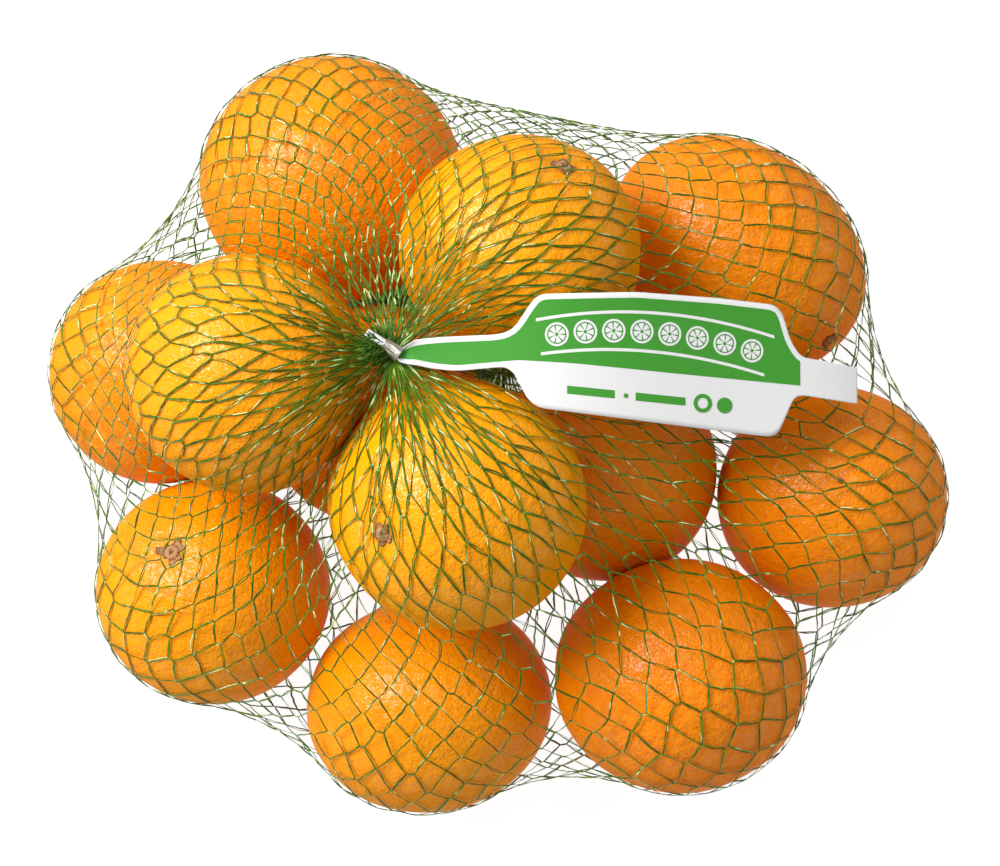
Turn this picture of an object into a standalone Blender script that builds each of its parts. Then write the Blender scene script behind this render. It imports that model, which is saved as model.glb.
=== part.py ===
"""A net of oranges, lying as it was put down.

Twelve oranges lie in a tube of stretched green net: eight on the table, one wedged up
beside them and three on top. The net is drawn together over the pile, where a crimped
metal clip holds its neck and the tongue of a printed label. Its other end is gathered in
the same way underneath, in the hollow behind the middle oranges.

The net and the fruit inside it are one solid: twelve ellipsoids fused to a core, which
follows the settled net but sinks in between the fruit, and rises to the net's two gathers.
All values are millimetres, and MM turns them into metres.
"""

import math

import bmesh
import bpy
import numpy as np
from mathutils import Matrix, Vector

MM = 0.001
PART = "net_of_oranges"

# Oranges: centre, half axes, and the turn of the long axis about the vertical in degrees.
ORANGES = {
    "rear_left": ((-49.1, 75.0, 37.3), (38.8, 36.6, 37.8), 10),
    "rear_right": ((70.9, 53.8, 32.9), (40.8, 31.9, 33.5), -36),
    "right": ((98.5, -17.7, 34.1), (33.9, 33.0, 34.8), 0),
    "left": ((-99.9, 18.9, 32.2), (32.5, 33.1, 32.8), 0),
    "front_left": ((-83.8, -45.7, 33.4), (34.8, 33.4, 34.1), 0),
    "front": ((-20.4, -79.4, 32.8), (36.6, 31.9, 33.5), 10),
    "under_label": ((31.3, -9.4, 33.2), (33.7, 33.7, 33.9), 0),
    "hidden": ((-36.8, 6.6, 32.2), (32.6, 32.6, 32.9), 0),
    "wedged": ((52.9, -69.4, 51.5), (36.6, 34.0, 35.1), 0),
    "top_rear": ((6.2, 52.3, 75.8), (34.4, 33.2, 33.8), 0),
    "top_left": ((-68.8, 17.3, 91.2), (33.9, 33.6, 33.9), 0),
    "top_front": ((-11.1, -18.8, 91.2), (36.0, 35.2, 35.7), -20),
}
ORANGE_SIDES = 24
ORANGE_RINGS = 14
FLOOR_BAND = 0.9
NET_THICKNESS = 0.5

# Calyxes: orange, place from its centre, and the button's radius. Each stands a little proud.
CALYXES = (
    ("top_rear", (12.5, 22.8, 21.2), 2.8),
    ("front_left", (-9.9, 12.9, 29.9), 3.7),
    ("top_front", (-20.4, -7.6, 28.2), 3.3),
    ("rear_right", (26.6, -27.2, 11.3), 2.2),
)
CALYX_HEIGHT = 2.4
CALYX_SINK = 1.0
CALYX_TAPER = 0.7

# Gathers and clips. A clip's own axes run across it, along it towards the cut end, and up.
TOP_GATHER = Vector((-28.4, 22.5, 103.5))
TOP_CLIP = Vector((-28.7, 23.7, 108.2))
TOP_CLIP_AXIS = Vector((-0.81, 0.586, 0.0))
UNDER_GATHER = Vector((1.6, 24.9, 16.0))
UNDER_CLIP = Vector((1.6, 24.9, 8.8))
UNDER_CLIP_AXIS = Vector((0.0, 0.0, -1.0))
CLIP_LENGTH = 5.4
CLIP_HALF_WIDTH = 2.3
CLIP_HALF_HEIGHT = 2.1
CLIP_WALL = 0.4
CLIP_SIDES = 16

# Necks of gathered net, and the tufts of cut net past the clips, in the clips' own axes.
NECK_RADIUS = 0.9
NECK_DROP = 0.45
NECK_ROOT = 4.0
TOP_TUFT = (-6.4, 4.9, 0.8)
TOP_TUFT_SIZE = (4.9, 5.0, 3.6)
UNDER_TUFT = (0.0, 5.4, 0.0)
UNDER_TUFT_SIZE = (4.2, 2.4, 4.2)

# Label: its far and near edge in plan, from the clip to the tail, and its height along the way.
LABEL_THICKNESS = 0.5
LABEL_FAR_EDGE = (
    (-24.0, 24.8), (-21.4, 26.3), (-15.4, 27.0), (-0.5, 27.6), (2.5, 28.3), (4.9, 30.0),
    (9.2, 36.6), (11.5, 38.7), (37.8, 39.5), (60.9, 38.2), (76.9, 36.6), (79.2, 34.6),
    (81.5, 26.9), (84.6, 22.1), (94.9, 20.5), (101.1, 19.2),
)
LABEL_NEAR_EDGE = (
    (-24.0, 20.1), (-21.4, 19.1), (-17.6, 18.3), (-11.1, 17.7), (1.1, 18.8), (2.5, 18.5),
    (4.4, 17.2), (5.2, 15.6), (8.2, 9.9), (11.2, 7.7), (59.5, 1.7), (75.5, -0.2),
    (77.9, 0.7), (80.4, 5.9), (82.4, 10.5), (84.6, 11.5), (101.1, 9.1),
)
LABEL_HEIGHTS = (
    (-24.0, 109.2), (-11.4, 107.8), (0.6, 107.4), (10.6, 107.7), (20.6, 106.0),
    (40.6, 99.6), (60.6, 92.4), (80.6, 84.6), (100.6, 76.5),
)
LABEL_BEND_TERMS = 5
LABEL_LONGEST_STEP = 6.0
LABEL_ROWS = 4
TONGUE_HALF_WIDTH = 0.95
TONGUE_RISE = 1.03
TONGUE_REACH = 5.5
TONGUE_MOUTH = 0.9

# Net: knots round the tube, rows from gather to gather, and the longest side of a mesh.
KNOTS_ROUND = 48
ROWS = 32
MESH_SIDE = 11.3
SETTLE_STEPS = 900
SLACK_PULL = 0.035
FIRST_SHAPE = (165.0, 145.0, 100.0)
FIRST_HEIGHT = 60.0
GATHER_RADIUS = 1.5

# Core: the middle it sinks towards, its size as a share of the net's, and how far from a
# gather the net starts and ends to sink.
CORE_MIDDLE = (0.0, 0.0, 34.0)
CORE_SHARE = 0.56
CROWN_START = 16.0
CROWN_END = 42.0


def plan_turn(degrees):
    return Matrix.Rotation(math.radians(degrees), 3, "Z")


def finish(name, colour, roughness, metallic=0.0):
    """A plain material with the piece's colour."""
    material = bpy.data.materials.new(name)
    material.use_nodes = True
    shader = material.node_tree.nodes["Principled BSDF"]
    shader.inputs["Base Color"].default_value = (*colour, 1.0)
    shader.inputs["Roughness"].default_value = roughness
    shader.inputs["Metallic"].default_value = metallic
    return material


def new_object(name, mesh, collection, material):
    obj = bpy.data.objects.new(name, mesh)
    collection.objects.link(obj)
    mesh.materials.append(material)
    mesh.shade_smooth()
    return obj


def mesh_from(bm, name):
    mesh = bpy.data.meshes.new(name)
    bm.to_mesh(mesh)
    bm.free()
    return mesh


def solid_curve(name, route, radius):
    """A round rod along the route's points, each with its share of the radius, as a mesh."""
    curve = bpy.data.curves.new(name, "CURVE")
    curve.dimensions = "3D"
    curve.bevel_depth = radius * MM
    curve.bevel_resolution = 2
    curve.use_fill_caps = True
    spline = curve.splines.new("POLY")
    spline.points.add(len(route) - 1)
    for point, (place, share) in zip(spline.points, route):
        point.co = (*(place * MM), 1.0)
        point.radius = share
    rod = bpy.data.objects.new(name, curve)
    bpy.context.scene.collection.objects.link(rod)
    graph = bpy.context.evaluated_depsgraph_get()
    mesh = bpy.data.meshes.new_from_object(rod.evaluated_get(graph))
    bpy.data.objects.remove(rod)
    bm = bmesh.new()
    bm.from_mesh(mesh)
    bmesh.ops.remove_doubles(bm, verts=bm.verts, dist=0.00001)
    bmesh.ops.recalc_face_normals(bm, faces=bm.faces)
    bm.to_mesh(mesh)
    bm.free()
    return mesh


def first_net():
    """The net as a loose balloon round the pile: rows of knots, odd rows half a step round."""
    row = np.arange(ROWS + 1)
    down = row / ROWS * math.pi
    half_steps = 0.5 * (row % 2)
    angle = (np.arange(KNOTS_ROUND)[None, :] + half_steps[:, None]) / KNOTS_ROUND * 2 * math.pi
    share = ((1 - np.cos(down)) / 2)[:, None]
    reach = np.sin(down)[:, None]
    knots = np.zeros((ROWS + 1, KNOTS_ROUND, 3))
    for axis, ring in ((0, np.cos(angle)), (1, np.sin(angle))):
        middle = TOP_GATHER[axis] * (1 - share) + UNDER_GATHER[axis] * share
        knots[..., axis] = middle + FIRST_SHAPE[axis] * reach * ring
    knots[..., 2] = FIRST_HEIGHT + FIRST_SHAPE[2] * np.cos(down)[:, None]
    rings = np.stack([np.cos(angle), np.sin(angle), np.zeros_like(angle)], axis=-1)
    top = np.array(TOP_GATHER) + GATHER_RADIUS * rings[0]
    under = np.array(UNDER_GATHER) + GATHER_RADIUS * rings[-1]
    return knots, top, under


def pull_strands(knots):
    """Draws in every strand that is longer than a mesh side, and takes up a little slack."""
    for first, turn in ((0, 0), (0, 1), (1, 0), (1, -1)):
        rows = np.arange(first, ROWS, 2)
        below = np.roll(knots[rows + 1], turn, axis=1)
        strand = below - knots[rows]
        length = np.linalg.norm(strand, axis=-1, keepdims=True)
        excess = np.maximum(length - MESH_SIDE, 0.0) / (2 * length)
        move = strand * (excess + SLACK_PULL)
        knots[rows] += move
        knots[rows + 1] = np.roll(below - move, -turn, axis=1)


def push_out(knots, centre, half_axes, turn):
    """Moves the knots that are inside an orange to its surface."""
    rotation = np.array(plan_turn(turn))
    reach = np.array(half_axes) + NET_THICKNESS
    local = (knots - np.array(centre)) @ rotation / reach
    depth = np.linalg.norm(local, axis=-1)
    inside = depth < 1.0
    local[inside] /= depth[inside, None]
    knots[inside] = (local[inside] * reach) @ rotation.T + np.array(centre)


def settled_net():
    """The net drawn tight over the fruit, the table and its two gathers."""
    knots, top, under = first_net()
    for _ in range(SETTLE_STEPS):
        pull_strands(knots)
        knots[0] = top
        knots[-1] = under
        for centre, half_axes, turn in ORANGES.values():
            push_out(knots, centre, half_axes, turn)
        knots[..., 2] = np.maximum(knots[..., 2], 0.0)
    return knots


def sunk(knots):
    """The net sinks in between the fruit, the more the farther it is from both gathers."""
    away = np.minimum(
        np.linalg.norm(knots - np.array(TOP_GATHER), axis=-1),
        np.linalg.norm(knots - np.array(UNDER_GATHER), axis=-1),
    )
    share = np.clip((away - CROWN_START) / (CROWN_END - CROWN_START), 0.0, 1.0)
    share = (share * share * (3 - 2 * share))[..., None]
    middle = np.array(CORE_MIDDLE)
    return knots + share * (CORE_SHARE - 1.0) * (knots - middle)


def core_mesh(name):
    """A sphere whose rings of vertices are the sunk net's rows of knots."""
    bm = bmesh.new()
    bmesh.ops.create_uvsphere(bm, u_segments=KNOTS_ROUND, v_segments=ROWS, radius=1.0)
    knots = sunk(settled_net())
    ordered = sorted(bm.verts, key=lambda vert: -vert.co.z)
    ordered[0].co = TOP_GATHER * MM
    ordered[-1].co = UNDER_GATHER * MM
    for row in range(1, ROWS):
        first = 1 + (row - 1) * KNOTS_ROUND
        ring = ordered[first:first + KNOTS_ROUND]
        ring.sort(key=lambda vert: math.atan2(vert.co.y, vert.co.x) % (2 * math.pi - 0.001))
        for vert, place in zip(ring, knots[row]):
            vert.co = Vector(place) * MM
    bmesh.ops.triangulate(bm, faces=bm.faces, quad_method="SHORT_EDGE")
    bmesh.ops.recalc_face_normals(bm, faces=bm.faces)
    return mesh_from(bm, name)


def orange_mesh(name, centre, half_axes, turn):
    """An ellipsoid with the net's thickness on it, pressed flat where it meets the table."""
    reach = Vector(half_axes) + Vector((NET_THICKNESS,) * 3)
    frame = Matrix.Translation(Vector(centre) * MM) @ plan_turn(turn).to_4x4()
    bm = bmesh.new()
    bmesh.ops.create_uvsphere(
        bm, u_segments=ORANGE_SIDES, v_segments=ORANGE_RINGS, radius=MM,
        matrix=frame @ Matrix.Diagonal((*reach, 1.0)),
    )
    for vert in bm.verts:
        if vert.co.z < FLOOR_BAND * MM:
            vert.co.z = 0.0
    return mesh_from(bm, name)


def clip_frame(centre, axis):
    """The clip's own axes: X across it, Y along it towards the cut end, Z up."""
    along = axis.normalized()
    up = Vector((0.0, 0.0, 1.0)) if abs(along.z) < 0.5 else Vector((0.0, 1.0, 0.0))
    across = along.cross(up).normalized()
    rotation = Matrix((across, along, across.cross(along))).transposed().to_4x4()
    return Matrix.Translation(centre * MM) @ rotation


def in_clip(frame, across, along, up):
    """A point in the clip's own axes, as a place in millimetres."""
    return frame @ (Vector((across, along, up)) * MM) / MM


def clip_piece(name, frame, collection, material):
    """A crimped sleeve, pressed to an oval."""
    bm = bmesh.new()
    bmesh.ops.create_cone(
        bm, cap_ends=False, segments=CLIP_SIDES, radius1=1.0, radius2=1.0, depth=CLIP_LENGTH,
        matrix=Matrix.Rotation(math.radians(90), 4, "X"),
    )
    pressed = Matrix.Diagonal((CLIP_HALF_WIDTH * MM, MM, CLIP_HALF_HEIGHT * MM, 1.0))
    bmesh.ops.transform(bm, matrix=pressed, verts=bm.verts)
    bmesh.ops.recalc_face_normals(bm, faces=bm.faces)
    clip = new_object(name, mesh_from(bm, name), collection, material)
    clip.matrix_world = frame
    wall = clip.modifiers.new("Wall", "SOLIDIFY")
    wall.thickness = CLIP_WALL * MM
    wall.offset = -1.0


def top_neck(frame):
    """The neck rises out of the gather, turns back through the clip and bends to the tuft."""
    half = CLIP_LENGTH / 2
    route = [
        (TOP_GATHER - Vector((0.0, 0.0, NECK_ROOT)), 2.0),
        (in_clip(frame, -0.4, -half - 1.7, -4.4), 1.6),
        (in_clip(frame, 0.0, -half - 1.9, -2.8), 1.1),
        (in_clip(frame, 0.0, -half - 1.3, -1.2), 1.0),
        (in_clip(frame, 0.0, -half - 0.5, -NECK_DROP), 1.0),
        (in_clip(frame, 0.0, half + 0.5, -NECK_DROP), 1.0),
        (in_clip(frame, -1.5, half + 1.4, -0.7), 1.0),
        (in_clip(frame, -4.0, half + 2.0, -0.2), 1.5),
    ]
    return solid_curve("top_neck", route, NECK_RADIUS)


def under_neck(frame):
    """The neck drops straight through the clip to its tuft."""
    half = CLIP_LENGTH / 2
    route = [
        (UNDER_GATHER + Vector((0.0, 0.0, NECK_ROOT)), 2.0),
        (UNDER_GATHER, 1.6),
        (in_clip(frame, 0.0, -half - 0.5, 0.0), 1.1),
        (in_clip(frame, 0.0, half + 0.5, 0.0), 1.1),
        (in_clip(frame, 0.0, half + 1.8, 0.0), 1.8),
    ]
    return solid_curve("under_neck", route, NECK_RADIUS)


def tuft(name, frame, place, size):
    """A bunch of cut strands, as a ball pressed to the tuft's size."""
    bm = bmesh.new()
    bmesh.ops.create_icosphere(bm, subdivisions=2, radius=MM)
    stretch = Matrix.Diagonal((*size, 1.0))
    shift = Matrix.Translation(Vector(place) * MM)
    bmesh.ops.transform(bm, matrix=frame @ shift @ stretch, verts=bm.verts)
    return mesh_from(bm, name)


def calyx(name, orange, place, radius):
    """A stem end: a low tapered button that stands out of the peel, square to it."""
    centre, half_axes, turn = ORANGES[orange]
    rotation = plan_turn(turn)
    local = rotation.transposed() @ Vector(place)
    slope = Vector([value / half**2 for value, half in zip(local, half_axes)])
    out = (rotation @ slope).normalized()
    middle = Vector(centre) + Vector(place) + out * (CALYX_HEIGHT / 2 - CALYX_SINK)
    frame = Matrix.Translation(middle * MM) @ out.to_track_quat("Z", "Y").to_matrix().to_4x4()
    bm = bmesh.new()
    bmesh.ops.create_cone(
        bm, cap_ends=True, segments=8, radius1=radius * MM, radius2=radius * CALYX_TAPER * MM,
        depth=CALYX_HEIGHT * MM, matrix=frame,
    )
    return mesh_from(bm, name)


def join_solids(body, extras):
    """Fuses the extra meshes to the body with one union, and removes them."""
    group = bpy.data.collections.new("joined_to_" + body.name)
    bpy.context.scene.collection.children.link(group)
    for mesh in extras:
        group.objects.link(bpy.data.objects.new(mesh.name, mesh))
    union = body.modifiers.new("Union", "BOOLEAN")
    union.operation = "UNION"
    union.operand_type = "COLLECTION"
    union.collection = group
    graph = bpy.context.evaluated_depsgraph_get()
    joined = bpy.data.meshes.new_from_object(body.evaluated_get(graph))
    body.modifiers.clear()
    body.data = joined
    for helper in list(group.objects):
        bpy.data.objects.remove(helper)
    bpy.data.collections.remove(group)


def label_stations(frame):
    """The label's cross-sections from the tongue's end to the tail, each as two edge points."""
    half = CLIP_LENGTH / 2
    sections = []
    for along in (half + TONGUE_REACH, half, -half, -half - TONGUE_MOUTH):
        sections.append([
            in_clip(frame, side * TONGUE_HALF_WIDTH, along, TONGUE_RISE) for side in (1, -1)
        ])
    bend = np.polyfit(*zip(*LABEL_HEIGHTS), LABEL_BEND_TERMS)
    corners = sorted({x for x, _ in LABEL_FAR_EDGE + LABEL_NEAR_EDGE})
    places = [corners[0]]
    for corner in corners[1:]:
        steps = math.ceil((corner - places[-1]) / LABEL_LONGEST_STEP)
        places.extend(np.linspace(places[-1], corner, steps + 1)[1:])
    for x in places:
        height = np.polyval(bend, x)
        edges = [np.interp(x, *zip(*edge)) for edge in (LABEL_FAR_EDGE, LABEL_NEAR_EDGE)]
        sections.append([Vector((x, y, height)) for y in edges])
    return sections


def label_piece(name, frame, collection, material):
    """A strip of grid laid across the stations, and given the label's thickness."""
    sections = label_stations(frame)
    bm = bmesh.new()
    last = len(sections) - 1
    bmesh.ops.create_grid(bm, x_segments=last, y_segments=LABEL_ROWS, size=0.5)
    for vert in bm.verts:
        far, near = sections[round((vert.co.x + 0.5) * last)]
        vert.co = near.lerp(far, vert.co.y + 0.5) * MM
    bmesh.ops.recalc_face_normals(bm, faces=bm.faces)
    label = new_object(name, mesh_from(bm, name), collection, material)
    sheet = label.modifiers.new("Sheet", "SOLIDIFY")
    sheet.thickness = LABEL_THICKNESS * MM
    sheet.offset = 0.0


def clear_scene():
    for obj in list(bpy.data.objects):
        bpy.data.objects.remove(obj)


def main():
    clear_scene()
    parts = bpy.data.collections.new(PART)
    bpy.context.scene.collection.children.link(parts)
    netted_peel = finish("netted_peel", (0.90, 0.34, 0.01), 0.45)
    crimped_metal = finish("crimped_metal", (0.62, 0.60, 0.57), 0.35, metallic=1.0)
    coated_card = finish("coated_card", (0.07, 0.36, 0.03), 0.4)
    top = clip_frame(TOP_CLIP, TOP_CLIP_AXIS)
    under = clip_frame(UNDER_CLIP, UNDER_CLIP_AXIS)

    bag = new_object("net_bag", core_mesh("net_bag"), parts, netted_peel)
    extras = [orange_mesh(orange, *shape) for orange, shape in ORANGES.items()]
    extras += [
        top_neck(top),
        under_neck(under),
        tuft("top_tuft", top, TOP_TUFT, TOP_TUFT_SIZE),
        tuft("under_tuft", under, UNDER_TUFT, UNDER_TUFT_SIZE),
    ]
    extras += [calyx("calyx_" + orange, orange, place, radius) for orange, place, radius in CALYXES]
    join_solids(bag, extras)

    clip_piece("clip", top, parts, crimped_metal)
    clip_piece("clip_under", under, parts, crimped_metal)
    label_piece("label", top, parts, coated_card)


main()
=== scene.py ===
# %% [markdown]
# # A net of oranges
# The object is a retail bag: twelve oranges in a tube of stretched green net, drawn together
# on top by a crimped metal clip that also holds a printed tag. This notebook dresses the
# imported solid: it builds the fruit, lets the net settle over them, lays the tag and crimps
# the clips, each with a finish of shader nodes only. Lengths are millimetres until MM turns
# them into metres.

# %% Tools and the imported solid
import math

import bmesh
import bpy
import numpy as np
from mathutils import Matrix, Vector


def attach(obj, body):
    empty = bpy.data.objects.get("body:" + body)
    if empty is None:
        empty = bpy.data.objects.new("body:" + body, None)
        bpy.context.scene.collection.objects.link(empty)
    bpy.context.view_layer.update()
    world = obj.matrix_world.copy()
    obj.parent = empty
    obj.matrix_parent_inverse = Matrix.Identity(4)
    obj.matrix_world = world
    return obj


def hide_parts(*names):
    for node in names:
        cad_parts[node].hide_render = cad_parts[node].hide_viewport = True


MM = 0.001
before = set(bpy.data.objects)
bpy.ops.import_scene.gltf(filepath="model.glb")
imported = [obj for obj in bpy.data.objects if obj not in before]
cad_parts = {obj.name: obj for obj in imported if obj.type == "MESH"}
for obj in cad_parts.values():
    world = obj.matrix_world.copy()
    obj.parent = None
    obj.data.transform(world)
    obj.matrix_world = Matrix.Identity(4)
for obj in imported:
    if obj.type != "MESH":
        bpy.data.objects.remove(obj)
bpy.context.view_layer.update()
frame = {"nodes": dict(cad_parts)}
print("solids:", sorted(frame["nodes"]))

# %% [markdown]
# ## Where the fruit lie
# Each orange is a centre, three half axes and a turn about the vertical, as in the solid
# model. Eight lie on the table, one is wedged up beside them and three lie on top. The last
# two values say where the stem end points, and how deep the colour is, from 0 to 1.

# %% The twelve oranges
ORANGES = {
    "rear_left": ((-49.1, 75.0, 37.3), (38.8, 36.6, 37.8), 10, (-0.4, 0.8, -0.4), 0.75),
    "rear_right": ((70.9, 53.8, 32.9), (40.8, 31.9, 33.5), -36, (26.6, -27.2, 11.3), 0.85),
    "right": ((98.5, -17.7, 34.1), (33.9, 33.0, 34.8), 0, (0.03, -0.15, -0.99), 0.9),
    "left": ((-99.9, 18.9, 32.2), (32.5, 33.1, 32.8), 0, (-0.8, 0.1, -0.6), 0.6),
    "front_left": ((-83.8, -45.7, 33.4), (34.8, 33.4, 34.1), 0, (-9.9, 12.9, 29.9), 0.3),
    "front": ((-20.4, -79.4, 32.8), (36.6, 31.9, 33.5), 10, (0.2, -0.85, -0.5), 0.35),
    "under_label": ((31.3, -9.4, 33.2), (33.7, 33.7, 33.9), 0, (0.1, 0.3, -0.95), 0.8),
    "hidden": ((-36.8, 6.6, 32.2), (32.6, 32.6, 32.9), 0, (-0.1, 0.2, -0.97), 0.6),
    "wedged": ((52.9, -69.4, 51.5), (36.6, 34.0, 35.1), 0, (0.75, -0.3, -0.6), 0.95),
    "top_rear": ((6.2, 52.3, 75.8), (34.4, 33.2, 33.8), 0, (12.5, 22.8, 21.2), 0.1),
    "top_left": ((-68.8, 17.3, 91.2), (33.9, 33.6, 33.9), 0, (-0.6, 0.3, -0.75), 0.2),
    "top_front": ((-11.1, -18.8, 91.2), (36.0, 35.2, 35.7), -20, (-20.4, -7.6, 28.2), 0.0),
}
print(len(ORANGES), "oranges")

# %% [markdown]
# ## Helpers for meshes
# Everything thin here, net and tufts alike, is many small tapes. All their corners are worked
# out as arrays and made into one mesh.


# %% From arrays to objects
def add_object(name, data):
    obj = bpy.data.objects.new(name, data)
    bpy.context.scene.collection.objects.link(obj)
    return obj


def mesh_object(name, points, faces, material):
    """A smooth object from an array of points in millimetres and its faces."""
    mesh = bpy.data.meshes.new(name)
    points = np.asarray(points).reshape(-1, 3) * MM
    mesh.from_pydata(points.tolist(), [], np.asarray(faces).tolist())
    mesh.materials.append(material)
    mesh.polygons.foreach_set("use_smooth", [True] * len(mesh.polygons))
    return add_object(name, mesh)


def add_values(obj, name, values):
    """Stores one number a point, for the material to read."""
    attribute = obj.data.attributes.new(name, "FLOAT", "POINT")
    attribute.data.foreach_set("value", np.ascontiguousarray(values, np.float32).ravel())


def unit(vectors):
    return vectors / (np.linalg.norm(vectors, axis=-1, keepdims=True) + 1e-9)


def bell(values, width, middle=0.0):
    """1 at the middle, and down towards 0 from one width away on."""
    return np.exp(-(((values - middle) / width) ** 2))


def tube_faces(near, far):
    """Faces between rings of point numbers: each ring runs along the last axis and closes."""
    corners = [near, np.roll(near, -1, axis=-1), np.roll(far, -1, axis=-1), far]
    return np.stack(corners, axis=-1).reshape(-1, 4)


def joined(parts):
    """Several sets of points and faces as one."""
    points, faces, first = [], [], 0
    for some, corners in parts:
        some = some.reshape(-1, 3)
        points.append(some)
        faces.append(corners + first)
        first += len(some)
    return np.concatenate(points), np.concatenate(faces)


def in_net(piece):
    """The piece stands for part of the solid bag: it hangs from the root, and the solid bag is hidden."""
    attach(piece, "root")
    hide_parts("net_bag")


# %% [markdown]
# ## Helpers for materials
# A material is a small tree of nodes round one Principled shader. These helpers add a node
# and set or join its sockets in one line.


# %% Nodes in one line
def put(tree, kind, inputs=None, **settings):
    """Adds a node, sets its properties, and links each input or sets its value."""
    node = tree.nodes.new(kind)
    for key, value in settings.items():
        setattr(node, key, value)
    for key, value in (inputs or {}).items():
        if isinstance(value, bpy.types.NodeSocket):
            tree.links.new(value, node.inputs[key])
        else:
            node.inputs[key].default_value = value
    return node


def principled(name, values):
    """A new material and its Principled shader, with constants set on the shader itself."""
    material = bpy.data.materials.new(name)
    material.use_nodes = True
    shader = material.node_tree.nodes["Principled BSDF"]
    for key, value in values.items():
        shader.inputs[key].default_value = value
    return material, material.node_tree, shader


def maths(tree, operation, first, second):
    return put(tree, "ShaderNodeMath", {0: first, 1: second}, operation=operation).outputs[0]


def ramp(tree, source, low, high):
    """A smooth step of the source from 0 at low to 1 at high."""
    inputs = {"Value": source, "From Min": low, "From Max": high}
    return put(tree, "ShaderNodeMapRange", inputs, interpolation_type="SMOOTHSTEP").outputs["Result"]


def mix_colours(tree, share, *colours):
    """Mixes two colours, each a tuple or a socket, by a share."""
    first, second = ((*value, 1.0) if isinstance(value, tuple) else value for value in colours)
    inputs = {0: share, 6: first, 7: second}
    return put(tree, "ShaderNodeMix", inputs, data_type="RGBA").outputs[2]


def three_colours(tree, value, steps, colours):
    """The first colour, then the second, then the third, as the value rises past two steps."""
    low = mix_colours(tree, ramp(tree, value, *steps[0]), *colours[:2])
    return mix_colours(tree, ramp(tree, value, *steps[1]), low, colours[2])


def add_bump(tree, shader, strength, distance, height, *others):
    """Bends the shader's normal by a height, and the other sockets named."""
    inputs = {"Strength": strength, "Distance": distance, "Height": height}
    bump = put(tree, "ShaderNodeBump", inputs)
    for socket in ("Normal", *others):
        tree.links.new(bump.outputs["Normal"], shader.inputs[socket])


# %% [markdown]
# ## Effects that several finishes share
# A mottle, soft patches at any size, is in every finish of the bag. It is a node group, so
# that each material places it with its own values.


# %% The mottle group
def new_group(name, inputs, outputs):
    tree = bpy.data.node_groups.new(name, "ShaderNodeTree")
    for label, value in inputs.items():
        socket = tree.interface.new_socket(label, in_out="INPUT", socket_type="NodeSocketFloat")
        socket.default_value = value
    for label in outputs:
        tree.interface.new_socket(label, in_out="OUTPUT", socket_type="NodeSocketFloat")
    return tree, tree.nodes.new("NodeGroupInput").outputs, tree.nodes.new("NodeGroupOutput").inputs


def mottle_group():
    """Soft patches: a mask from 0 to 1, at a scale in patches for each metre."""
    tree, given, out = new_group("Mottle", {"Scale": 50.0, "Detail": 3.0, "Contrast": 0.2}, ["Mask"])
    place = put(tree, "ShaderNodeTexCoord").outputs["Object"]
    inputs = {"Vector": place, "Scale": given["Scale"], "Detail": given["Detail"]}
    noise = put(tree, "ShaderNodeTexNoise", inputs).outputs["Fac"]
    low = maths(tree, "SUBTRACT", 0.5, given["Contrast"])
    high = maths(tree, "ADD", 0.5, given["Contrast"])
    step = put(tree, "ShaderNodeMapRange", {"Value": noise, "From Min": low, "From Max": high})
    tree.links.new(step.outputs["Result"], out["Mask"])
    return tree


MOTTLE = mottle_group()


def mottle(tree, scale, detail, contrast, strength=None):
    """The mask of a mottle, times a strength if one is given."""
    inputs = {"Scale": scale, "Detail": detail, "Contrast": contrast}
    mask = put(tree, "ShaderNodeGroup", inputs, node_tree=MOTTLE).outputs["Mask"]
    return mask if strength is None else maths(tree, "MULTIPLY", mask, strength)


def mottled_material(name, colour, dark_share, patches, relief, values):
    """One colour with darker patches, and a fine relief: its strength, then its mottle."""
    material, tree, shader = principled(name, values)
    darker = tuple(value * dark_share for value in colour)
    tree.links.new(mix_colours(tree, mottle(tree, *patches), darker, colour), shader.inputs["Base Color"])
    add_bump(tree, shader, relief[0], 0.0001, mottle(tree, *relief[1:]))
    return material, tree, shader


# %% [markdown]
# ## Peel
# Orange peel is a waxy skin full of oil glands. Each gland is a shallow pit about a
# millimetre across, and between the pits the skin swells in low waves. A cell texture gives
# the pits and a noise the swellings, for the bump and a little for the colour. Pits in the
# mesh would need ten million faces for twelve oranges. The wax is a thin patchy coat over a
# dull ground, which breaks the highlight into small glints. It fades towards the fruit's rim.

# %% The peel group
PITS_PER_METRE = 1050.0
PIT_EDGES = (0.05, 0.55)
WARP_SCALE, WARP_SHIFT = 300.0, 0.0012
WAVES_PER_METRE, WAVE_HEIGHT = 420.0, 1.6


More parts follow.
